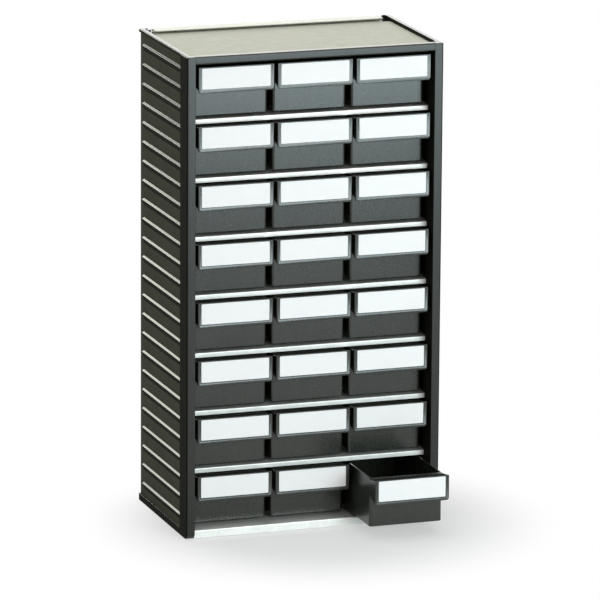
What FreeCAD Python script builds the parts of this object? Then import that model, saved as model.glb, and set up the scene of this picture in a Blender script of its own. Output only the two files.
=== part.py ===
import FreeCAD, Part
import os

import Sketcher

# Small-parts drawer cabinet: eight rows of three plastic drawers on steel shelves between two
# ribbed side panels. The front faces -Y, +X is to the viewer's right, and the origin is the
# middle of the footprint on the floor. Millimetres.

SIZES = [
    # The whole cabinet
    ("width", 300, "over both side panels"),
    ("depth", 178, "front of the side panels to their back"),
    ("height", 550, "floor to the top of the side panels"),
    ("rows", 8, "rows of drawers"),
    ("columns", 3, "columns of drawers"),
    ("floor_height", 10, "top of the bottom shelf above the floor"),
    ("head_room", 8, "top row's share of the height down to the level where a shelf would be"),
    ("side_room", 2, "side panel to the outermost column"),
    # Side panels
    ("panel_web", 4.6, "wall between the outer and inner recess"),
    ("ledge_reach", 3, "how far a shelf ledge stands in from the wall"),
    ("band_depth", 25, "smooth band along the front edge"),
    ("rear_band", 12, "ribs' rear ends to the rear edge"),
    ("corner_radius", 9, "front foot of the side panel"),
    ("edge_radius", 2, "outer front and top edges of the side panel"),
    ("top_rim", 6, "side panel's rim beside the top plate"),
    ("rim_edge", 3, "outer edge of that rim"),
    ("rear_lip", 4, "side panel's lip behind the back panel, in from its inner face"),
    ("rib_stand", 2.4, "how far the ribs and the front band stand out"),
    ("rib_fall", 1.6, "slope of a rib's top, down to its outer edge"),
    ("rib_edge", 1, "height of a rib's outer edge"),
    ("rib_root", 8, "height of a rib where it meets the wall"),
    ("ribs_per_row", 3, "grip ribs in one row's height"),
    ("first_rib", 15, "top of the panel down to the first rib"),
    ("ledge", 3, "thickness of a shelf ledge"),
    # Sheet metal
    ("sheet", 1, "steel sheet"),
    ("shelf_lip", 5.5, "folded front edge of a shelf, from its top face"),
    ("bottom_lip", 9, "folded front edge of the bottom shelf"),
    ("lip_cover", 3, "shelf's front edge in front of the posts' back"),
    ("bottom_setback", 3, "cabinet front to the bottom shelf's front edge"),
    ("bead_width", 3.6, "guide ridge between two columns"),
    ("bead_height", 2.5, "guide ridge above the shelf"),
    ("bead_start", 45, "shelf's front edge to the guide ridge"),
    ("bead_end", 8, "guide ridge to the shelf's rear edge"),
    ("back_inset", 1.5, "back panel in from the rear of the side panels"),
    ("back_flange", 15, "back panel's top edge, folded forwards"),
    ("flange_notch", 4.5, "ends of the folded edge, in from the side panels' inner faces"),
    ("top_sink", 4, "top plate below the top of the side panels"),
    ("plate_gap", 3, "gap behind the top plate"),
    ("plate_play", 0.4, "top plate to the side panels' rims"),
    # Front rail
    ("rail_height", 9, "front face of the rail"),
    ("rail_top", 8, "top of the rail, in front of the top plate"),
    ("rail_wall", 2, "walls of the rail"),
    # Drawers
    ("column_gap", 6, "between the bodies of two drawers"),
    ("handle_gap", 4.4, "between the label handles of two drawers"),
    ("rear_room", 2, "drawer's rear wall to the back panel"),
    ("lip_room", 1.7, "drawer's rim to the lip of the shelf above"),
    ("drawer_wall", 1.8, "walls and floor of a drawer"),
    ("drawer_corner", 3.2, "upright corners of a drawer"),
    ("runner_height", 2.6, "runners under the drawer's floor"),
    ("runner_width", 3, "a runner"),
    ("runner_inset", 9, "runner in from the drawer's side"),
    ("runner_margin", 12, "runner in from the drawer's front and back"),
    ("drawer_setback", 2.5, "cabinet front to the label face"),
    ("drawer_gap", 0.3, "running clearance under a drawer"),
    ("handle_depth", 21, "label face to the drawer's front wall"),
    ("handle_height", 29, "label handle"),
    ("handle_rise", 2.5, "top of the label face above the drawer's rim"),
    ("roof_land", 3, "level part of the handle's roof, next to the drawer"),
    ("handle_face", 2.4, "wall behind the label"),
    ("handle_top", 2, "roof of the finger pull"),
    ("handle_cheek", 2.4, "end walls of the finger pull"),
    ("cheek_height", 20, "end wall where it meets the drawer"),
    ("handle_corner", 3, "lower corners of the label handle"),
    ("tab_height", 4, "stop tab above the drawer's rim"),
    ("tab_width", 52, "stop tab along its foot"),
    ("tab_slope", 4, "slanted end of the stop tab"),
    # Label cards
    ("recess_side", 3.8, "label recess in from the handle's ends"),
    ("recess_foot", 4, "label recess above the handle's lower edge"),
    ("card_thickness", 0.5, "label card"),
    ("card_play", 0.3, "label card to the edge of its recess"),
    ("recess_depth", 0.9, "label recess"),
    ("recess_rim", 1, "label recess below the handle's top"),
    # The one drawer that stands open at rest
    ("open_by", 75, "how far the drawer at the bottom right stands open"),
]

doc = FreeCAD.newDocument("DrawerCabinet")
sheet = doc.addObject("Spreadsheet::Sheet", "Sizes")
for line, (alias, value, meaning) in enumerate(SIZES, 1):
    sheet.set(f"A{line}", meaning)
    sheet.set(f"B{line}", str(value))
    sheet.setAlias(f"B{line}", alias)
doc.recompute()


def terms(text):
    """Write each sheet alias in the text out as a reference to its cell."""
    words = text.replace("(", " ( ").replace(")", " ) ").split()
    aliases = {alias for alias, value, meaning in SIZES}
    return " ".join(f"Sizes.{word}" if word in aliases else word for word in words)


def size(text):
    """The number that an expression of sheet aliases has now."""
    return float(sheet.evalExpression(terms(text)))


# Places that several pieces share, as expressions of the sheet
ROW_PITCH = "( ( height - floor_height - head_room ) / rows )"
PANEL_THICKNESS = "( rib_stand + panel_web + ledge_reach )"
COLUMN_PITCH = f"( ( width - 2 * {PANEL_THICKNESS} - 2 * side_room ) / columns )"
FRONT = "( - depth / 2 )"
REAR = "( depth / 2 )"
INNER_FACE = f"( width / 2 - {PANEL_THICKNESS} )"
INNER_WALL = "( width / 2 - rib_stand - panel_web )"
POST_BACK = f"( {FRONT} + band_depth )"
RIB_END = f"( {REAR} - rear_band )"
BACK_FACE = f"( {REAR} - back_inset - sheet )"
SHELF_FRONT = f"( {POST_BACK} - lip_cover )"
BOTTOM_FRONT = f"( {FRONT} + bottom_setback )"
PLATE_SEAT = "( height - top_sink - sheet )"
FOLD_FRONT = f"( {BACK_FACE} + sheet - back_flange )"
STOP_EDGE = "( height - head_room - shelf_lip )"
RIM_FACE = "( width / 2 - top_rim )"
FOLD_END = f"( {INNER_FACE} - flange_notch )"
DRAWER_WIDTH = f"( {COLUMN_PITCH} - column_gap )"
DRAWER_DEPTH = "( depth - drawer_setback - rear_room - sheet - back_inset )"
DRAWER_HEIGHT = f"( {ROW_PITCH} - shelf_lip - lip_room - drawer_gap )"
HANDLE_WIDTH = f"( {COLUMN_PITCH} - handle_gap )"
HANDLE_TOP = f"( {DRAWER_HEIGHT} + handle_rise )"
HANDLE_FOOT = f"( {HANDLE_TOP} - handle_height )"
RECESS_HALF = f"( {HANDLE_WIDTH} / 2 - recess_side )"
RECESS_FOOT = f"( {HANDLE_FOOT} + recess_foot )"
RECESS_TOP = f"( {HANDLE_TOP} - recess_rim )"


def new_body(name):
    body = doc.addObject("PartDesign::Body", name)
    body.Label = name
    return body


def sketch_on(body, plane, offset="0"):
    """An empty sketch on one of the body's origin planes, moved along that plane's normal."""
    sketch = body.newObject("Sketcher::SketchObject", f"{body.Name}_outline")
    origin_plane = [f for f in body.Origin.OriginFeatures if f.Role == plane][0]
    sketch.AttachmentSupport = [(origin_plane, "")]
    sketch.MapMode = "FlatFace"
    sketch.setExpression("AttachmentOffset.Base.z", terms(offset))
    return sketch


def outline(sketch, corners):
    """Add a closed outline whose corners are each placed from the sheet."""
    first = sketch.GeometryCount
    count = len(corners)
    points = [FreeCAD.Vector(size(x), size(y), 0) for x, y in corners]
    for i, point in enumerate(points):
        sketch.addGeometry(Part.LineSegment(point, points[(i + 1) % count]))
    for i, corner in enumerate(corners):
        line = first + i
        before = first + (i - 1) % count
        sketch.addConstraint(Sketcher.Constraint("Coincident", before, 2, line, 1))
        for kind, text in zip(("DistanceX", "DistanceY"), corner):
            index = sketch.addConstraint(Sketcher.Constraint(kind, -1, 1, line, 1, size(text)))
            sketch.setExpression(f"Constraints[{index}]", terms(text))


def rectangle(sketch, left, right, low, high):
    outline(sketch, [(left, low), (right, low), (right, high), (left, high)])


def feature(body, kind, sketch, length, backwards=False):
    """Pad or pocket the sketch along its normal, or against it when backwards."""
    made = body.newObject(f"PartDesign::{kind}", f"{body.Name}_{kind.lower()}")
    made.Profile = sketch
    made.Reversed = backwards
    made.setExpression("Length", terms(length))
    doc.recompute()
    return made


def pad(body, sketch, length, backwards=False):
    return feature(body, "Pad", sketch, length, backwards)


def pocket(body, sketch, length, backwards=False):
    """Cut the sketch out of the body, and make sure that something was cut."""
    before = body.Shape.Volume
    made = feature(body, "Pocket", sketch, length, backwards)
    if body.Shape.Volume > before - 1e-6:
        raise RuntimeError(f"{made.Name} cuts nothing")
    return made


def edges_near(body, points):
    """Names of the edges of the body's newest feature that pass through the points."""
    shape = body.Tip.Shape
    names = []
    for point in points:
        vertex = Part.Vertex(FreeCAD.Vector(*[size(text) for text in point]))
        distances = [edge.distToShape(vertex)[0] for edge in shape.Edges]
        nearest = min(range(len(distances)), key=distances.__getitem__)
        if distances[nearest] > 1e-3:
            raise RuntimeError(f"{body.Name} has no edge at {point}")
        names.append(f"Edge{nearest + 1}")
    return names


def fillet(body, points, radius):
    """Round the edges of the body that pass through the points."""
    tip = body.Tip
    names = edges_near(body, points)
    made = body.newObject("PartDesign::Fillet", f"{body.Name}_fillet")
    made.Base = (tip, names)
    made.setExpression("Radius", terms(radius))
    doc.recompute()
    return made


def pattern_up(body, original, count, length):
    """Repeat a feature along +Z."""
    axis = [f for f in body.Origin.OriginFeatures if f.Role == "Z_Axis"][0]
    pattern = body.newObject("PartDesign::LinearPattern", f"{body.Name}_pattern")
    pattern.Originals = [original]
    pattern.Direction = (axis, [""])
    pattern.setExpression("Length", terms(length))
    pattern.setExpression("Occurrences", terms(count))
    body.Tip = pattern
    doc.recompute()
    return pattern


def left_side_panel():
    """Moulded panel: wall with a thick front post, grip ribs outside and shelf ledges inside."""
    body = new_body("side_panel_left")
    outer = "( - width / 2 )"
    wall_out = f"( {outer} + rib_stand )"
    low_edge = "( floor_height - sheet )"

    plan = sketch_on(body, "YZ_Plane", outer)
    rectangle(plan, FRONT, REAR, "0", "height")
    pad(body, plan, PANEL_THICKNESS)
    fillet(body, [(f"{outer} + {PANEL_THICKNESS} / 2", FRONT, "0")], "corner_radius")
    fillet(body, [(outer, FRONT, "height / 2"), (outer, "0", "height")], "edge_radius")

    outside = sketch_on(body, "YZ_Plane", outer)
    rectangle(outside, POST_BACK, REAR, low_edge, "height - rim_edge")
    pocket(body, outside, "rib_stand", True)

    inside = sketch_on(body, "YZ_Plane", f"- {INNER_FACE}")
    rectangle(inside, POST_BACK, BACK_FACE, low_edge, f"{PLATE_SEAT} - ledge")
    pocket(body, inside, "ledge_reach")

    groove = sketch_on(body, "XY_Plane", "height")
    rectangle(groove, f"- {INNER_WALL}", f"- {INNER_FACE}", BACK_FACE, f"{BACK_FACE} + sheet")
    pocket(body, groove, f"height - {low_edge}")

    rib_span = f"( ( rows * ribs_per_row - 1 ) * {ROW_PITCH} / ribs_per_row )"
    lowest_rib = f"( height - first_rib - {rib_span} )"
    rib_nose = f"( {lowest_rib} - rib_fall )"
    rib = sketch_on(body, "XZ_Plane", f"- {POST_BACK}")
    outline(rib, [(wall_out, lowest_rib), (outer, rib_nose), (outer, f"{rib_nose} - rib_edge"),
                  (wall_out, f"{lowest_rib} - rib_root")])
    first = pad(body, rib, f"{RIB_END} - {POST_BACK}", True)
    pattern_up(body, first, "rows * ribs_per_row", rib_span)

    first_ledge = f"( floor_height + {ROW_PITCH} - sheet )"
    shelf_seat = sketch_on(body, "XZ_Plane", f"- {POST_BACK}")
    rectangle(shelf_seat, f"- {INNER_WALL}", f"- {INNER_FACE}", f"{first_ledge} - ledge", first_ledge)
    lowest = pad(body, shelf_seat, f"{BACK_FACE} - {POST_BACK}", True)
    pattern_up(body, lowest, "rows - 1", f"( rows - 2 ) * {ROW_PITCH}")

    plate_seat = sketch_on(body, "XY_Plane", "height")
    rectangle(plate_seat, f"- {RIM_FACE}", f"- {INNER_FACE}", f"{FRONT} + rail_top", f"{BACK_FACE} + sheet")
    pocket(body, plate_seat, f"height - {PLATE_SEAT}")

    lip = sketch_on(body, "XY_Plane")
    rectangle(lip, f"- {INNER_FACE}", f"- {INNER_FACE} + rear_lip", f"{BACK_FACE} + sheet", REAR)
    pad(body, lip, "height - edge_radius")
    return body


def right_side_panel(left):
    mirror = doc.addObject("Part::Mirroring", "side_panel_right")
    mirror.Label = "side_panel_right"
    mirror.Source = left
    mirror.Normal = FreeCAD.Vector(1, 0, 0)
    return mirror


def shelf(name, front_edge, lip):
    """Steel shelf with its top face at z = 0: folded front lip, notches for the posts, guide ridges."""
    body = new_body(name)
    half = INNER_WALL
    profile = sketch_on(body, "YZ_Plane", f"- {half}")
    outline(profile, [(front_edge, "0"), (front_edge, f"- {lip}"), (f"{front_edge} + sheet", f"- {lip}"),
                      (f"{front_edge} + sheet", "- sheet"), (BACK_FACE, "- sheet"), (BACK_FACE, "0")])
    pad(body, profile, f"2 * {half}")

    notches = sketch_on(body, "XY_Plane", f"- {lip}")
    rectangle(notches, f"- {half}", f"- {INNER_FACE}", front_edge, POST_BACK)
    rectangle(notches, INNER_FACE, half, front_edge, POST_BACK)
    pocket(body, notches, lip, True)

    ridge = sketch_on(body, "XZ_Plane", f"- ( {front_edge} + bead_start )")
    for column in range(1, int(size("columns"))):
        middle = f"( {column} - columns / 2 ) * {COLUMN_PITCH}"
        outline(ridge, [(f"{middle} - bead_width / 2", "0"), (f"{middle} + bead_width / 2", "0"),
                        (f"{middle} + bead_width / 4", "bead_height"),
                        (f"{middle} - bead_width / 4", "bead_height")])
    pad(body, ridge, f"{BACK_FACE} - {front_edge} - bead_start - bead_end", True)
    return body


def back_panel():
    """Steel sheet in the side panels' grooves, with its top edge folded forwards over the top plate."""
    body = new_body("back_panel")
    foot = "( floor_height - sheet )"
    behind = f"( {BACK_FACE} + sheet )"
    profile = sketch_on(body, "YZ_Plane", f"- {INNER_WALL}")
    outline(profile, [(BACK_FACE, foot), (behind, foot), (behind, "height"), (FOLD_FRONT, "height"),
                      (FOLD_FRONT, "height - sheet"), (BACK_FACE, "height - sheet")])
    pad(body, profile, f"2 * {INNER_WALL}")
    relief = sketch_on(body, "XY_Plane", PLATE_SEAT)
    rectangle(relief, f"- {INNER_WALL}", f"- {FOLD_END}", FOLD_FRONT, behind)
    rectangle(relief, FOLD_END, INNER_WALL, FOLD_FRONT, behind)
    pocket(body, relief, f"height - {PLATE_SEAT}", True)
    return body


def top_plate():
    """Steel plate sunk between the rims, with its rear end tucked under the back panel's fold."""
    body = new_body("top_plate")
    half = f"( {RIM_FACE} - plate_play )"
    front = f"( {FRONT} + rail_top )"
    step = f"( {FOLD_FRONT} - plate_gap )"
    rear = f"( {BACK_FACE} - plate_gap )"
    plan = sketch_on(body, "XY_Plane", PLATE_SEAT)
    outline(plan, [(f"- {half}", front), (half, front), (half, step), (FOLD_END, step), (FOLD_END, rear),
                   (f"- {FOLD_END}", rear), (f"- {FOLD_END}", step), (f"- {half}", step)])
    pad(body, plan, "sheet")
    return body


def front_rail():
    """Moulded rail between the posts: front face, seat for the top plate, stop rib for the top row."""
    body = new_body("top_front_rail")
    foot = "( height - rail_height )"
    web = f"( {PLATE_SEAT} - rail_wall )"
    inner = f"( {FRONT} + rail_wall )"
    top_edge = f"( {FRONT} + rail_top )"
    stop_back = f"( {SHELF_FRONT} + sheet )"
    stop_front = f"( {stop_back} - rail_wall )"
    profile = sketch_on(body, "YZ_Plane", f"- {INNER_FACE}")
    outline(profile, [(FRONT, foot), (inner, foot), (inner, web), (stop_front, web), (stop_front, STOP_EDGE),
                      (stop_back, STOP_EDGE), (stop_back, PLATE_SEAT), (top_edge, PLATE_SEAT),
                      (top_edge, "height"), (FRONT, "height")])
    pad(body, profile, f"2 * {INNER_FACE}")
    return body


def drawer():
    """Moulded drawer: tub on two runners, hollow label handle open below, stop tab on the rear wall.

    Its own frame has the label face at y = 0 and the runners' undersides at z = 0.
    """
    body = new_body("drawer_moulding")
    half = f"{DRAWER_WIDTH} / 2"
    in_half = f"( {half} - drawer_wall )"
    in_front = "( handle_depth + drawer_wall )"
    in_back = f"( {DRAWER_DEPTH} - drawer_wall )"
    grip_half = f"{HANDLE_WIDTH} / 2"

    plan = sketch_on(body, "XY_Plane", "runner_height")
    rectangle(plan, f"- {half}", half, "handle_depth", DRAWER_DEPTH)
    pad(body, plan, f"{DRAWER_HEIGHT} - runner_height")
    middle = f"{DRAWER_HEIGHT} / 2"
    corners = [(x, y, middle) for x in (f"- {half}", half) for y in ("handle_depth", DRAWER_DEPTH)]
    fillet(body, corners, "drawer_corner")

    grip = sketch_on(body, "YZ_Plane", f"- {grip_half}")
    roof_back = "( handle_depth - roof_land )"
    outline(grip, [("0", HANDLE_FOOT), (in_front, HANDLE_FOOT), (in_front, DRAWER_HEIGHT),
                   (roof_back, DRAWER_HEIGHT), ("handle_face", HANDLE_TOP), ("0", HANDLE_TOP)])
    pad(body, grip, HANDLE_WIDTH)
    lower_corners = [(x, "handle_depth / 2", HANDLE_FOOT) for x in (f"- {grip_half}", grip_half)]
    fillet(body, lower_corners, "handle_corner")

    hollow = sketch_on(body, "XY_Plane", DRAWER_HEIGHT)
    rectangle(hollow, f"- {in_half}", in_half, in_front, in_back)
    pocket(body, hollow, f"{DRAWER_HEIGHT} - runner_height - drawer_wall")

    pull = sketch_on(body, "XY_Plane", HANDLE_FOOT)
    pull_half = f"( {grip_half} - handle_cheek )"
    rectangle(pull, f"- {pull_half}", pull_half, "handle_face", "handle_depth")
    pocket(body, pull, f"{DRAWER_HEIGHT} - handle_top - {HANDLE_FOOT}", True)

    cheek = sketch_on(body, "YZ_Plane", f"- {grip_half}")
    outline(cheek, [("handle_face", HANDLE_FOOT), ("handle_depth", HANDLE_FOOT),
                    ("handle_depth", f"{DRAWER_HEIGHT} - cheek_height")])
    pocket(body, cheek, HANDLE_WIDTH, True)

    recess = sketch_on(body, "XZ_Plane")
    rectangle(recess, f"- {RECESS_HALF}", RECESS_HALF, RECESS_FOOT, RECESS_TOP)
    pocket(body, recess, "recess_depth")

    stop = sketch_on(body, "XZ_Plane", f"- {in_back}")
    tab_top = f"{DRAWER_HEIGHT} + tab_height"
    outline(stop, [("- tab_width / 2", DRAWER_HEIGHT), ("tab_width / 2", DRAWER_HEIGHT),
                   ("tab_width / 2 - tab_slope", tab_top), ("- tab_width / 2 + tab_slope", tab_top)])
    pad(body, stop, "drawer_wall", True)

    runners = sketch_on(body, "XY_Plane")
    outer_edge = f"( {half} - runner_inset )"
    inner_edge = f"( {outer_edge} - runner_width )"
    for left_edge, right_edge in ((f"- {outer_edge}", f"- {inner_edge}"), (inner_edge, outer_edge)):
        rectangle(runners, left_edge, right_edge, "handle_depth + runner_margin",
                  f"{DRAWER_DEPTH} - runner_margin")
    pad(body, runners, "runner_height")
    return body


def label_card():
    """Blank card against the back of a drawer's label recess, in the drawer's own frame."""
    body = new_body("label_blank")
    face = sketch_on(body, "XZ_Plane", "card_thickness - recess_depth")
    half = f"( {RECESS_HALF} - card_play )"
    rectangle(face, f"- {half}", half, f"{RECESS_FOOT} + card_play", f"{RECESS_TOP} - card_play")
    pad(body, face, "card_thickness", True)
    return body


def placed(name, source, x="0", y="0", z="0"):
    """A copy of a body at its own place in the cabinet."""
    link = doc.addObject("App::Link", name)
    link.Label = name
    link.LinkedObject = source
    for axis, text in zip("xyz", (x, y, z)):
        link.setExpression(f"Placement.Base.{axis}", terms(text))
    return link


def shelf_stack(source):
    """The shelves between the rows, one above the other."""
    copies = []
    for level in range(1, int(size("rows"))):
        copies.append(placed(f"shelf_{level}", source, z=f"floor_height + {level} * {ROW_PITCH}"))
    group = doc.addObject("Part::Compound", "shelves")
    group.Label = "shelves"
    group.Links = copies
    return group


def drawers_and_labels(moulding, card):
    """One drawer and its card per bay, counted from the top left; the last one stands open."""
    pieces = []
    rows = int(size("rows"))
    columns = int(size("columns"))
    for row in range(1, rows + 1):
        for column in range(1, columns + 1):
            last = (row, column) == (rows, columns)
            x = f"( {column} - ( columns + 1 ) / 2 ) * {COLUMN_PITCH}"
            y = f"{FRONT} + drawer_setback" + (" - open_by" if last else "")
            z = f"floor_height + ( rows - {row} ) * {ROW_PITCH} + drawer_gap"
            pieces.append(placed(f"drawer_r{row}c{column}", moulding, x, y, z))
            pieces.append(placed(f"label_r{row}c{column}", card, x, y, z))
    return pieces


left = left_side_panel()
bottom_sheet = shelf("bottom_shelf_sheet", BOTTOM_FRONT, "bottom_lip")
pieces = [
    left,
    right_side_panel(left),
    placed("bottom_shelf", bottom_sheet, z="floor_height"),
    shelf_stack(shelf("shelf_sheet", SHELF_FRONT, "shelf_lip")),
    back_panel(),
    top_plate(),
    front_rail(),
]
pieces += drawers_and_labels(drawer(), label_card())
doc.recompute()

for item in doc.Objects:
    if "Invalid" in item.State or "Error" in item.State:
        raise RuntimeError(f"{item.Name} failed: {item.State}")
for piece in pieces:
    shape = Part.getShape(piece)
    if shape.isNull() or not shape.isValid() or not shape.Solids:
        raise RuntimeError(f"{piece.Label} has no valid solid")

os.makedirs("parts", exist_ok=True)
for piece in pieces:
    Part.getShape(piece).exportStep(f"parts/{piece.Label}.step")
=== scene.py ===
import math

import bmesh
import bpy
from mathutils import Matrix, Vector


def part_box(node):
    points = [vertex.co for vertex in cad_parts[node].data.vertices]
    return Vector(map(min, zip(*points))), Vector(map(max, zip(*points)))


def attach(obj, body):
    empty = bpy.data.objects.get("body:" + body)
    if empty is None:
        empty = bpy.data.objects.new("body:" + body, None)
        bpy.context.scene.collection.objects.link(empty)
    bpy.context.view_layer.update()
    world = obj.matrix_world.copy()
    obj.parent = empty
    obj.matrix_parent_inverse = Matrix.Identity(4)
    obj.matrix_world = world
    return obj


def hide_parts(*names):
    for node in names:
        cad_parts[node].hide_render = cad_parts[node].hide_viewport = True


# Small-parts drawer cabinet: moulded drawers with label handles on zinc-plated shelves, between
# two ribbed side panels. Sizes below are in millimetres, and the scene is in metres.

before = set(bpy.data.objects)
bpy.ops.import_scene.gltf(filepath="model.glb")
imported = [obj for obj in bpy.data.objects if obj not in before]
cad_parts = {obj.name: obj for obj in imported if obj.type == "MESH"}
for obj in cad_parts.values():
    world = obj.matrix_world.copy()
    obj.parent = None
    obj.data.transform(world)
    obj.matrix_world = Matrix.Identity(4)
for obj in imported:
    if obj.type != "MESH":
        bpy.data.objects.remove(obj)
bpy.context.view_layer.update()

ROWS, COLUMNS = 8, 3

# One drawer in its own frame: label face at y = 0, undersides of its runners at z = 0, middle at x = 0
BODY_HALF, BODY_FRONT, BODY_BACK, BODY_FOOT, RIM = 43.0, 21.0, 171.0, 2.6, 59.0
WALL, CORNER, FOOT_ROUND = 1.8, 3.2, 1.2
RUNNER_IN, RUNNER_OUT, RUNNER_MARGIN = 31.0, 34.0, 12.0
GRIP_HALF, GRIP_FOOT, GRIP_TOP, GRIP_CORNER, FACE = 43.8, 32.5, 61.5, 3.0, 2.4
CHEEK, CHEEK_INSET, CHEEK_FOOT, ROOF, ROOF_DROP, ROOF_LAND = 2.2, 0.2, 39.0, 1.8, 0.3, 3.0
CARD_HALF, CARD_FOOT, CARD_TOP, CARD_SINK, FRAME_SLOPE = 40.0, 36.5, 60.5, 0.9, 1.7
TAB_HALF, TAB_TOP_HALF, TAB_TOP, TAB_ROOT, TAB_INSET = 26.0, 22.0, 63.0, 6.0, 0.1
RIM_ROUND, RUNNER_ROUND, FRAME_ROUND, FRAME_TOP_ROUND, ROOF_ROUND = 0.4, 0.6, 0.45, 0.8, 0.6

# How far the finger pull reaches into the tub's front wall, and how thick its back is in there
PULL_BITE, PULL_BACK = 0.9, 0.6

# Sheet steel folds and side panels, in the cabinet's frame
BOTTOM_LEVEL, ROW_PITCH, SHELF_FRONT, BOTTOM_FRONT = 10.0, 66.5, -67.0, -86.0
FRONT, POST_BACK, PANEL_TOP, RAIL_FOOT, WALL_OUT = -89.0, -64.0, 550.0, 541.0, 147.6
MOULD_ROUND, RAIL_ROUND, SHEET_ROUND, FOLD_ROUND, SHORTEST_EDGE = 0.35, 1.6, 0.2, 1.0, 4.0

# Edges that are sharp enough to round, edges within a flat face, and edges that shade smooth
SHARP, FLAT, SMOOTH = math.radians(40), math.radians(5), math.radians(35)


def pick(kind, test):
    """In edit mode, select only the faces or edges whose middle and direction pass the test."""
    bpy.ops.mesh.select_mode(type=kind)
    bpy.ops.mesh.select_all(action="DESELECT")
    mesh = bpy.context.object.data
    shape = bmesh.from_edit_mesh(mesh)
    for item in shape.faces if kind == "FACE" else shape.edges:
        middle = sum((corner.co for corner in item.verts), Vector()) / len(item.verts) * 1000
        way = item.normal if kind == "FACE" else (item.verts[1].co - item.verts[0].co).normalized()
        item.select_set(bool(test(middle, way)))
    bmesh.update_edit_mesh(mesh)


def pick_sharp(shortest):
    """In edit mode, select only the sharp edges that are longer than the shortest."""
    bpy.ops.mesh.select_mode(type="EDGE")
    bpy.ops.mesh.select_all(action="DESELECT")
    mesh = bpy.context.object.data
    shape = bmesh.from_edit_mesh(mesh)
    for edge in shape.edges:
        sharp = edge.calc_face_angle(0) > SHARP
        edge.select_set(sharp and edge.calc_length() > shortest / 1000)
    bmesh.update_edit_mesh(mesh)


def near(value, target, reach=0.05):
    """Whether a measure is within reach of its target."""
    return abs(value - target) < reach


def block(name, low, high):
    """Add a box between two corners, with its place in its mesh, and open it for shaping."""
    bpy.ops.object.select_all(action="DESELECT")
    low, high = Vector(low) / 1000, Vector(high) / 1000
    bpy.ops.mesh.primitive_cube_add(size=1, location=(low + high) / 2, scale=high - low)
    piece = bpy.context.object
    piece.name = piece.data.name = name
    bpy.ops.object.transform_apply(location=True, rotation=True, scale=True)
    bpy.ops.object.mode_set(mode="EDIT")
    return piece


def push(x=0.0, y=0.0, z=0.0):
    """Move what is selected."""
    bpy.ops.transform.translate(value=Vector((x, y, z)) / 1000)


def draw_out(x=0.0, y=0.0, z=0.0):
    """Extrude the selected faces."""
    bpy.ops.mesh.extrude_region_move(TRANSFORM_OT_translate={"value": Vector((x, y, z)) / 1000})


def round_off(radius, segments):
    """Round the selected edges, but none that lies within a flat face."""
    mesh = bpy.context.object.data
    shape = bmesh.from_edit_mesh(mesh)
    for edge in shape.edges:
        if edge.select and edge.calc_face_angle(0) < FLAT:
            edge.select_set(False)
    bmesh.update_edit_mesh(mesh)
    bpy.ops.mesh.bevel(offset=radius / 1000, segments=segments, profile=0.5, clamp_overlap=False)


def apply_modifier(piece, kind, **settings):
    """Add a modifier to a piece, and make its result the piece's own mesh."""
    modifier = piece.modifiers.new(kind.lower(), kind)
    for name, value in settings.items():
        setattr(modifier, name, value)
    bpy.context.view_layer.objects.active = piece
    bpy.ops.object.modifier_apply(modifier=modifier.name)


def fuse(piece, *others):
    """Join closed shapes into one moulding."""
    for other in others:
        apply_modifier(piece, "BOOLEAN", operation="UNION", solver="EXACT", object=other)
        bpy.data.objects.remove(other)


def smooth(piece):
    """Shade rounded edges smooth, and keep large faces flat."""
    bpy.ops.object.select_all(action="DESELECT")
    piece.select_set(True)
    bpy.context.view_layer.objects.active = piece
    bpy.ops.object.shade_smooth_by_angle(angle=SMOOTH)
    apply_modifier(piece, "WEIGHTED_NORMAL", keep_sharp=True)


def drawer_tub():
    """Open tub with rounded upright corners, a rounded foot and a softened rim."""
    tub = block("tub", (-BODY_HALF, BODY_FRONT, BODY_FOOT), (BODY_HALF, BODY_BACK, RIM))
    pick("FACE", lambda at, way: way.z > 0.9)
    bpy.ops.mesh.inset(thickness=WALL / 1000)
    draw_out(z=BODY_FOOT + WALL - RIM)
    pick("EDGE", lambda at, way: abs(way.z) > 0.9 and near(abs(at.x), BODY_HALF))
    round_off(CORNER, 5)
    pick("EDGE", lambda at, way: abs(way.z) > 0.9 and near(abs(at.x), BODY_HALF - WALL))
    round_off(CORNER - WALL, 4)
    pick("EDGE", lambda at, way: near(at.z, BODY_FOOT))
    round_off(FOOT_ROUND, 3)
    pick("EDGE", lambda at, way: near(at.z, BODY_FOOT + WALL))
    round_off(CORNER - WALL, 3)
    pick("EDGE", lambda at, way: near(at.z, RIM))
    round_off(RIM_ROUND, 2)
    bpy.ops.object.mode_set(mode="OBJECT")
    return tub


def runner(side):
    """Low rib under the floor that slides on the shelf."""
    left, right = sorted((side * RUNNER_IN, side * RUNNER_OUT))
    rib = block("runner", (left, BODY_FRONT + RUNNER_MARGIN, 0),
                (right, BODY_BACK - RUNNER_MARGIN, BODY_FOOT + WALL / 2))
    pick("EDGE", lambda at, way: near(at.z, 0))
    round_off(RUNNER_ROUND, 3)
    bpy.ops.object.mode_set(mode="OBJECT")
    return rib


def outer_edge(at, way):
    """Whether an edge bounds the label plate's front face on the outside, not at the recess."""
    band = 1.2
    at_side = abs(at.x) > GRIP_HALF - band
    at_foot_or_top = not GRIP_FOOT + band < at.z < (GRIP_TOP + CARD_TOP) / 2
    return abs(way.y) < 0.1 and near(at.y, 0) and (at_side or at_foot_or_top)


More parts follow.
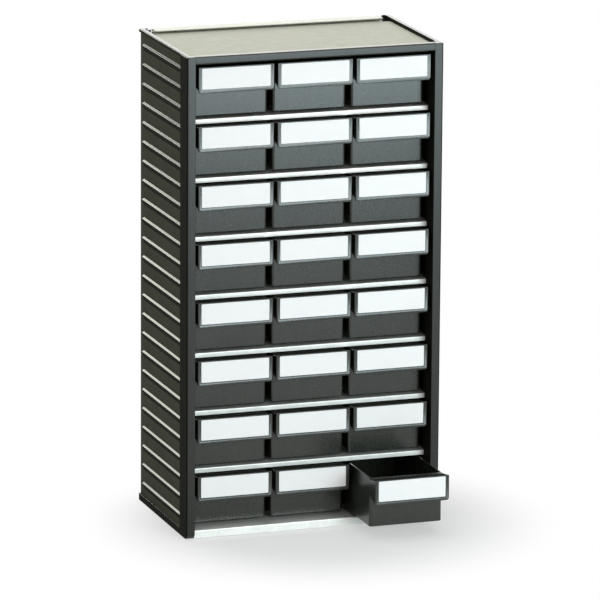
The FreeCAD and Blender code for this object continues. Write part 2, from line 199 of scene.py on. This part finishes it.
def label_plate():
    """Front plate of the handle: rounded lower corners and a shallow, sloped frame round the card."""
    plate = block("plate", (-GRIP_HALF, 0, GRIP_FOOT), (GRIP_HALF, FACE, GRIP_TOP))
    border = GRIP_TOP - CARD_TOP
    pick("FACE", lambda at, way: way.y < -0.9)
    bpy.ops.mesh.inset(thickness=border / 1000)
    inner = GRIP_HALF - border
    for side in (-1, 1):
        pick("EDGE", lambda at, way: abs(way.z) > 0.9 and near(at.x, side * inner))
        push(x=side * (CARD_HALF - inner))
    pick("EDGE", lambda at, way: abs(way.x) > 0.9 and near(at.z, GRIP_FOOT + border))
    push(z=CARD_FOOT - GRIP_FOOT - border)
    pick("FACE", lambda at, way: way.y < -0.9 and abs(at.x) < 1 and CARD_FOOT < at.z < CARD_TOP)
    draw_out(y=CARD_SINK)
    for side in (-1, 1):
        pick("EDGE", lambda at, way: abs(way.z) > 0.9 and near(at.x, side * CARD_HALF) and near(at.y, 0))
        push(x=side * FRAME_SLOPE)
    pick("EDGE", lambda at, way: abs(way.x) > 0.9 and near(at.z, CARD_FOOT) and near(at.y, 0))
    push(z=-FRAME_SLOPE)
    for level, radius, segments in ((GRIP_FOOT, GRIP_CORNER, 5), (GRIP_TOP, FRAME_TOP_ROUND, 3)):
        pick("EDGE", lambda at, way: abs(way.y) > 0.9 and near(abs(at.x), GRIP_HALF) and near(at.z, level))
        round_off(radius, segments)
    pick("EDGE", outer_edge)
    round_off(FRAME_ROUND, 3)
    bpy.ops.object.mode_set(mode="OBJECT")
    return plate


def finger_pull():
    """Sloping roof and slanted end cheeks that carry the label plate, open below for the fingers."""
    half, back = GRIP_HALF - CHEEK_INSET, BODY_FRONT + PULL_BITE
    level, bend = RIM - ROOF_DROP, BODY_FRONT - ROOF_LAND
    pull = block("pull", (-half, FACE / 2, GRIP_FOOT), (half, bend, level))
    pick("FACE", lambda at, way: way.y > 0.9)
    draw_out(y=back - bend)
    pick("EDGE", lambda at, way: abs(way.x) > 0.9 and near(at.y, FACE / 2) and near(at.z, level))
    push(z=GRIP_TOP - RIM)
    pick("FACE", lambda at, way: way.z < -0.9)
    bpy.ops.mesh.inset(thickness=CHEEK / 1000)
    pick("EDGE", lambda at, way: abs(way.x) > 0.9 and near(at.y, back - CHEEK) and near(at.z, GRIP_FOOT))
    push(y=CHEEK - PULL_BACK)
    pick("FACE", lambda at, way: way.z < -0.9 and abs(at.x) < 1 and FACE < at.y < BODY_FRONT)
    draw_out(z=level - ROOF - GRIP_FOOT)
    # The slant starts within the plate, off the line where the plate's own corners end
    bpy.ops.mesh.select_all(action="SELECT")
    slant = Vector((0, GRIP_FOOT + GRIP_CORNER - CHEEK_FOOT, BODY_FRONT - FACE))
    bpy.ops.mesh.bisect(plane_co=Vector((0, FACE / 2, GRIP_FOOT + GRIP_CORNER)) / 1000,
                        plane_no=slant.normalized(), use_fill=True, clear_inner=True, threshold=1e-6)
    pick("EDGE", lambda at, way: near(abs(at.x), half) and at.z > level - 0.1 and abs(way.y) > 0.9)
    round_off(ROOF_ROUND, 3)
    bpy.ops.object.mode_set(mode="OBJECT")
    return pull


def stop_tab():
    """Tab on the rear rim that catches the shelf above when the drawer is pulled out."""
    tab = block("tab", (-TAB_HALF, BODY_BACK - WALL + TAB_INSET, RIM - TAB_ROOT),
                (TAB_HALF, BODY_BACK - TAB_INSET, TAB_TOP))
    pick("FACE", lambda at, way: way.z > 0.9)
    bpy.ops.transform.resize(value=(TAB_TOP_HALF / TAB_HALF, 1, 1))
    pick("EDGE", lambda at, way: near(at.z, TAB_TOP))
    round_off(RIM_ROUND, 2)
    bpy.ops.object.mode_set(mode="OBJECT")
    return tab


def drawer_moulding():
    """The whole drawer, as it comes out of its mould."""
    drawer = drawer_tub()
    fuse(drawer, runner(-1), runner(1), finger_pull(), label_plate(), stop_tab())
    smooth(drawer)
    return drawer


def label_card():
    """Blank card with trimmed corners, standing in the recess."""
    play, sink, thickness, corner, edge = 0.3, 0.4, 0.5, 0.9, 0.12
    card = block("card", (play - CARD_HALF, sink, CARD_FOOT + play),
                 (CARD_HALF - play, sink + thickness, CARD_TOP - play))
    pick("EDGE", lambda at, way: abs(way.y) > 0.9)
    round_off(corner, 4)
    pick("EDGE", lambda at, way: near(at.y, sink))
    round_off(edge, 2)
    bpy.ops.object.mode_set(mode="OBJECT")
    smooth(card)
    return card


def eased(node, radius, bends, bend_radius):
    """Merged copy of a CAD piece with its edges rounded, as a mould or a press brake leaves them.

    The cut behind the posts parts their faces from those of the ribs and ledges in the same plane,
    because the comb shape that they make together would not divide cleanly into triangles.
    """
    bpy.ops.object.select_all(action="DESELECT")
    piece = bpy.data.objects.new(node + "_eased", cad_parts[node].data.copy())
    bpy.context.collection.objects.link(piece)
    piece.select_set(True)
    bpy.context.view_layer.objects.active = piece
    bpy.ops.mesh.customdata_custom_splitnormals_clear()
    bpy.ops.object.mode_set(mode="EDIT")
    bpy.ops.mesh.select_all(action="SELECT")
    bpy.ops.mesh.remove_doubles(threshold=1e-6)
    bpy.ops.mesh.dissolve_limited(angle_limit=math.radians(0.5))
    if bends:
        pick("EDGE", bends)
        round_off(bend_radius, 4)
    bpy.ops.mesh.select_all(action="SELECT")
    bpy.ops.mesh.bisect(plane_co=(0, POST_BACK / 1000, 0), plane_no=(0, 1, 0), threshold=1e-6)
    pick_sharp(SHORTEST_EDGE)
    round_off(radius, 2)
    bpy.ops.mesh.select_all(action="SELECT")
    bpy.ops.mesh.dissolve_degenerate(threshold=1e-6)
    bpy.ops.object.mode_set(mode="OBJECT")
    apply_modifier(piece, "TRIANGULATE", min_vertices=5)
    smooth(piece)
    return piece


def shelf_fold(at, way):
    """Whether an edge is the bend at the front of one of the upper shelves."""
    above_shelf = (at.z - BOTTOM_LEVEL + ROW_PITCH / 2) % ROW_PITCH - ROW_PITCH / 2
    return abs(way.x) > 0.9 and near(at.y, SHELF_FRONT) and near(above_shelf, 0)


def bottom_fold(at, way):
    """Whether an edge is the bend at the front of the bottom shelf."""
    return abs(way.x) > 0.9 and near(at.y, BOTTOM_FRONT) and near(at.z, BOTTOM_LEVEL)


def rail_edge(at, way):
    """Whether an edge bounds the rail's front face above or below."""
    return abs(way.x) > 0.9 and near(at.y, FRONT) and (near(at.z, PANEL_TOP) or near(at.z, RAIL_FOOT))


def linear(hex_colour):
    """sRGB hex to the linear colour that a shader takes."""
    parts = [int(hex_colour[i:i + 2], 16) / 255 for i in (1, 3, 5)]
    return [p / 12.92 if p <= 0.04045 else ((p + 0.055) / 1.055) ** 2.4 for p in parts] + [1.0]


def add(tree, kind, inputs=None, **settings):
    """Add a node. A socket among its inputs is linked, and any other value is set.

    A Mix node's inputs go by number, because they share names: 2 and 3 for values, 6 and 7 for colours.
    """
    made = tree.nodes.new(kind)
    for name, value in settings.items():
        setattr(made, name, value)
    for name, value in (inputs or {}).items():
        if isinstance(value, bpy.types.NodeSocket):
            tree.links.new(value, made.inputs[name])
        else:
            made.inputs[name].default_value = value
    return made


def new_material(name):
    """Empty node material, with the coordinates that its patterns use."""
    material = bpy.data.materials.new(name)
    material.use_nodes = True
    tree = material.node_tree
    tree.nodes.clear()
    place = add(tree, "ShaderNodeTexCoord").outputs["Object"]
    return material, tree, place


def close(tree, shader):
    """End a material with its shader."""
    add(tree, "ShaderNodeOutputMaterial", {"Surface": shader.outputs[0]})


def moulded_plastic(name, dark, light, roughness, specular=0.5):
    """Injection-moulded ABS: an even skin with faint flow streaks up the walls.

    The skin's grain is about 0.2 mm, too fine to show, so it is drawn at 0.7 mm.
    """
    material, tree, place = new_material(name)
    cloud = add(tree, "ShaderNodeTexNoise", {"Vector": place, "Scale": 1 / 0.045, "Detail": 3.0})
    upright = add(tree, "ShaderNodeMapping", {"Vector": place, "Scale": (1.0, 1.0, 0.08)}).outputs["Vector"]
    streak = add(tree, "ShaderNodeTexNoise", {"Vector": upright, "Scale": 1 / 0.004, "Detail": 2.0})
    tone = add(tree, "ShaderNodeMix", {"Factor": 0.45, 2: cloud.outputs["Fac"], 3: streak.outputs["Fac"]})
    spread = add(tree, "ShaderNodeMapRange", {"Value": tone.outputs[0], "From Min": 0.35, "From Max": 0.65})
    colour = add(tree, "ShaderNodeMix", {"Factor": spread.outputs["Result"], 6: linear(dark),
                                         7: linear(light)}, data_type="RGBA")
    grain = add(tree, "ShaderNodeTexNoise", {"Vector": place, "Scale": 1 / 0.0007, "Detail": 2.0})
    gloss = add(tree, "ShaderNodeMapRange", {
        "Value": grain.outputs["Fac"], "From Min": 0.3, "From Max": 0.7,
        "To Min": roughness - 0.05, "To Max": roughness + 0.06})
    skin = add(tree, "ShaderNodeBump", {"Height": grain.outputs["Fac"], "Strength": 0.12,
                                        "Distance": 0.0002})
    close(tree, add(tree, "ShaderNodeBsdfPrincipled", {
        "Base Color": colour.outputs[2], "Roughness": gloss.outputs["Result"], "IOR": 1.54,
        "Specular IOR Level": specular, "Normal": skin.outputs["Normal"]}))
    return material


def zinc_plated_steel(name, dark, light, metallic, roughness):
    """Zinc plating on cold-rolled sheet, under a milky passivation film that scatters light.

    It shows soft spangles about 7 mm across and fine rolling lines.
    """
    material, tree, place = new_material(name)
    spangle = add(tree, "ShaderNodeTexVoronoi", {"Vector": place, "Scale": 1 / 0.007})
    shade = add(tree, "ShaderNodeSeparateColor", {"Color": spangle.outputs["Color"]}).outputs["Red"]
    colour = add(tree, "ShaderNodeMix", {"Factor": shade, 6: linear(dark), 7: linear(light)},
                 data_type="RGBA")
    along = add(tree, "ShaderNodeMapping", {"Vector": place, "Scale": (0.03, 1.0, 1.0)}).outputs["Vector"]
    lines = add(tree, "ShaderNodeTexNoise", {"Vector": along, "Scale": 1 / 0.0006, "Detail": 2.0})
    gloss = add(tree, "ShaderNodeMapRange", {
        "Value": lines.outputs["Fac"], "From Min": 0.3, "From Max": 0.7,
        "To Min": roughness - 0.05, "To Max": roughness + 0.05})
    scratch = add(tree, "ShaderNodeBump", {"Height": lines.outputs["Fac"], "Strength": 0.03,
                                           "Distance": 0.0001})
    close(tree, add(tree, "ShaderNodeBsdfPrincipled", {
        "Base Color": colour.outputs[2], "Metallic": metallic, "Roughness": gloss.outputs["Result"],
        "Normal": scratch.outputs["Normal"]}))
    return material


def bleached_card(name, dark, light):
    """White card stock: matt, with faint fibres about 0.5 mm across."""
    material, tree, place = new_material(name)
    fibre = add(tree, "ShaderNodeTexNoise", {"Vector": place, "Scale": 1 / 0.0005, "Detail": 4.0})
    colour = add(tree, "ShaderNodeMix", {"Factor": fibre.outputs["Fac"], 6: linear(dark), 7: linear(light)},
                 data_type="RGBA")
    tooth = add(tree, "ShaderNodeBump", {"Height": fibre.outputs["Fac"], "Strength": 0.05,
                                         "Distance": 0.0001})
    close(tree, add(tree, "ShaderNodeBsdfPrincipled", {
        "Base Color": colour.outputs[2], "Roughness": 0.85, "IOR": 1.45,
        "Normal": tooth.outputs["Normal"]}))
    return material


def finish_piece(piece, material, body, node):
    """Give a piece its finish, and let it stand for its CAD piece."""
    piece.data.materials.clear()
    piece.data.materials.append(material)
    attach(piece, body)
    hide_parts(node)


def mould_finishes(piece, polished, matt, painted_light_flats):
    """Polish the rims and rib tops and leave the sides matt. The flats between the ribs get a lighter base
    colour of the same plastic, which is painted light.
    """
    for finish in (polished, matt, painted_light_flats):
        piece.data.materials.append(finish)
    # Finish 0 is the piece's own, and the others follow in their order above
    for face in piece.data.polygons:
        at, way = face.center * 1000, face.normal
        if way.z > 0.6:
            face.material_index = 1 if way.z < 0.9 or near(at.z, PANEL_TOP, 2) else 2
        elif abs(way.x) > 0.3:
            # Flats between the ribs get the lighter painted-light finish, and the rib noses and bands keep
            # the darker matt one
            face.material_index = 3 if near(abs(at.x), WALL_OUT, 0.5) and way.x * at.x > 0 else 2


def fill_bays(drawer, card, plastic, roof_matt_painted_shade, paper):
    """A copy of the drawer and its card in every bay, where the CAD has them, with the handle roof in the
    darker matt plastic as painted shade.
    """
    roof = [face.index for face in drawer.data.polygons
            if face.normal.z > 0.9 and face.center.y * 1000 < BODY_FRONT and face.center.z * 1000 > RIM - 1]
    for row in range(1, ROWS + 1):
        for column in range(1, COLUMNS + 1):
            bay = f"r{row}c{column}"
            low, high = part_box("drawer_" + bay)
            place = Matrix.Translation(((low.x + high.x) / 2, low.y, low.z))
            for pattern, kind, material, slot in ((drawer, "drawer", plastic, "drawer_plastic"),
                                                  (card, "label", paper, "card")):
                mesh = pattern.data.copy()
                mesh.transform(place)
                piece = bpy.data.objects.new(f"{kind}_{bay}_fine", mesh)
                bpy.context.collection.objects.link(piece)
                finish_piece(piece, material, "drawer_" + bay, f"{kind}_{bay}")
                # Painted shade: the handle roof gets the darker, duller matt plastic in place of the shade
                # under the shelf above
                if pattern is drawer:
                    mesh.materials.append(roof_matt_painted_shade)
                    for index in roof:
                        mesh.polygons[index].material_index = 1
    bpy.data.objects.remove(drawer)
    bpy.data.objects.remove(card)


def build_cabinet():
    """Make every piece, in finishes that tell the mouldings, the sheet steel and the cards apart."""
    # ABS: a soft sheen on the posts and rail, bright lines on rims and rib tops, no sheen on the sides, and
    # painted light (a lighter base colour) on the flats between the ribs
    satin = moulded_plastic("moulded_abs_satin", "#1A1C18", "#21231E", 0.3, 0.35)
    polished = moulded_plastic("moulded_abs_polished", "#1B1C16", "#22231C", 0.22)
    matt = moulded_plastic("moulded_abs_matt", "#161712", "#1C1D17", 0.85, 0.06)
    # Painted light: the matt side plastic with a lighter base colour, for the flats between the ribs
    painted_light_flats = moulded_plastic("moulded_abs_painted_light_flats", "#3F4032", "#4B4C3E", 0.85, 0.15)
    # Glossier ABS, so that the drawer fronts fade from grey at the top to near black at the foot
    grey = moulded_plastic("moulded_abs_grey", "#1C2019", "#262A22", 0.25)
    # Zinc: white strips at the shelf edges, a pale back, and a top plate as dull as putty
    bright_zinc = zinc_plated_steel("bright_zinc_plated_steel", "#EEF0EB", "#F7F9F4", 0.45, 0.4)
    sheet_zinc = zinc_plated_steel("zinc_plated_sheet_steel", "#DCDED5", "#E4E6DD", 0.6, 0.5)
    dull_zinc = zinc_plated_steel("passivated_zinc_steel", "#BBBDB0", "#C2C4B7", 0.75, 0.7)
    card_stock = bleached_card("bleached_card_stock", "#F5F5F4", "#F9F9F8")
    fill_bays(drawer_moulding(), label_card(), grey, matt, card_stock)
    for node, bends in (("side_panel_left", None), ("side_panel_right", None),
                        ("top_front_rail", rail_edge)):
        piece = eased(node, MOULD_ROUND, bends, RAIL_ROUND)
        finish_piece(piece, satin, "cabinet", node)
        mould_finishes(piece, polished, matt, painted_light_flats)
    for node, zinc, bends in (("shelves", bright_zinc, shelf_fold),
                              ("bottom_shelf", bright_zinc, bottom_fold),
                              ("top_plate", dull_zinc, None), ("back_panel", sheet_zinc, None)):
        piece = eased(node, SHEET_ROUND, bends, FOLD_ROUND)
        finish_piece(piece, zinc, "cabinet", node)


def seen_directly(tree):
    """1 where the eye sees a surface itself or through a reflection, 0 where it only lights others."""
    path = add(tree, "ShaderNodeLightPath").outputs
    seen = path["Is Camera Ray"]
    for ray in ("Is Glossy Ray", "Is Transmission Ray"):
        seen = add(tree, "ShaderNodeMath", {0: seen, 1: path[ray]}, operation="MAXIMUM").outputs[0]
    return seen


def studio():
    """Pale floor that runs out to white, and soft boxes in front, behind and overhead."""
    bpy.ops.object.select_all(action="DESELECT")
    bpy.ops.mesh.primitive_plane_add(size=16)
    floor = bpy.context.object
    floor.name = "studio_floor"
    material, tree, place = new_material("pale_studio_floor")
    paint = add(tree, "ShaderNodeBsdfDiffuse", {"Color": linear("#F6F8FA")})
    white = add(tree, "ShaderNodeEmission", {"Color": (1, 1, 1, 1), "Strength": 1.0})
    # Within 120 mm of the cabinet's foot the floor is 45 % white of its own, and past 280 mm all white
    distance = add(tree, "ShaderNodeVectorMath", {0: place, 1: (0.02, -0.06, 0)}, operation="DISTANCE")
    fade = add(tree, "ShaderNodeMapRange", {
        "Value": distance.outputs["Value"], "From Min": 0.12, "From Max": 0.28, "To Min": 0.45},
        interpolation_type="SMOOTHSTEP")
    share = add(tree, "ShaderNodeMath", {0: seen_directly(tree), 1: fade.outputs["Result"]},
                operation="MULTIPLY")
    close(tree, add(tree, "ShaderNodeMixShader", {
        0: share.outputs[0], 1: paint.outputs[0], 2: white.outputs[0]}))
    floor.data.materials.append(material)

    world = bpy.data.worlds.new("studio_white")
    bpy.context.scene.world = world
    world.use_nodes = True
    tree = world.node_tree
    tree.nodes.clear()
    level = add(tree, "ShaderNodeMapRange", {"Value": seen_directly(tree), "To Min": 0.25, "To Max": 1.0})
    sky = add(tree, "ShaderNodeBackground", {"Color": (1, 1, 1, 1), "Strength": level.outputs["Result"]})
    add(tree, "ShaderNodeOutputWorld", {"Surface": sky.outputs[0]})

    # Sizes and places in metres
    for name, place, aim, width, height, watts, tint in (
            ("front_softbox", (0.58, -1.75, 0.42), (0, -0.09, 0.3), 0.8, 0.6, 11.2, "#DDF8FF"),
            ("front_fill_softbox", (0.3, -2.2, 0.75), (0, -0.09, 0.25), 1.2, 0.8, 13.5, "#FFF6F2"),
            ("back_left_softbox", (-0.4, 1.9, 0.86), (0, 0, 0.3), 1.2, 0.45, 6.6, "#FDFFEC"),
            ("back_right_softbox", (0.7, 1.9, 1.05), (0, 0, 0.5), 0.9, 0.6, 2.7, "#FDFFF6"),
            ("overhead_softbox", (0.05, -0.4, 1.9), (0, -0.1, 0.2), 1.4, 1.4, 7.0, "#FFF9F4")):
        bpy.ops.object.select_all(action="DESELECT")
        bpy.ops.object.light_add(type="AREA", location=place)
        lamp = bpy.context.object
        lamp.name = name
        lamp.rotation_euler = (Vector(aim) - Vector(place)).to_track_quat("-Z", "Y").to_euler()
        lamp.data.shape, lamp.data.size, lamp.data.size_y = "RECTANGLE", width, height
        lamp.data.energy, lamp.data.color = watts, linear(tint)[:3]
        lamp.visible_camera = False


def place_camera():
    """Long lens from the front left and a little above, as the photograph was taken."""
    azimuth, elevation, roll = (math.radians(angle) for angle in (-19.02, 13.502, 0.385))
    back = Vector((math.sin(azimuth) * math.cos(elevation), -math.cos(azimuth) * math.cos(elevation),
                   math.sin(elevation)))
    right = Vector((math.cos(azimuth), math.sin(azimuth), 0))
    up = back.cross(right)
    middle, aside, below, distance = Vector((0, 0, 0.275)), 0.012552, 0.028198, 6.4
    target = middle + right * aside - up * below
    across = right * math.cos(roll) + up * math.sin(roll)
    axes = Matrix((across, back.cross(across), back)).transposed().to_4x4()
    bpy.ops.object.select_all(action="DESELECT")
    bpy.ops.object.camera_add()
    camera = bpy.context.object
    camera.matrix_world = Matrix.Translation(target + back * distance) @ axes
    camera.data.lens, camera.data.sensor_width, camera.data.clip_end = 339.88, 36.0, 100.0
    bpy.context.scene.camera = camera


build_cabinet()
studio()
place_camera()
bpy.context.scene.view_settings.view_transform = "Standard"
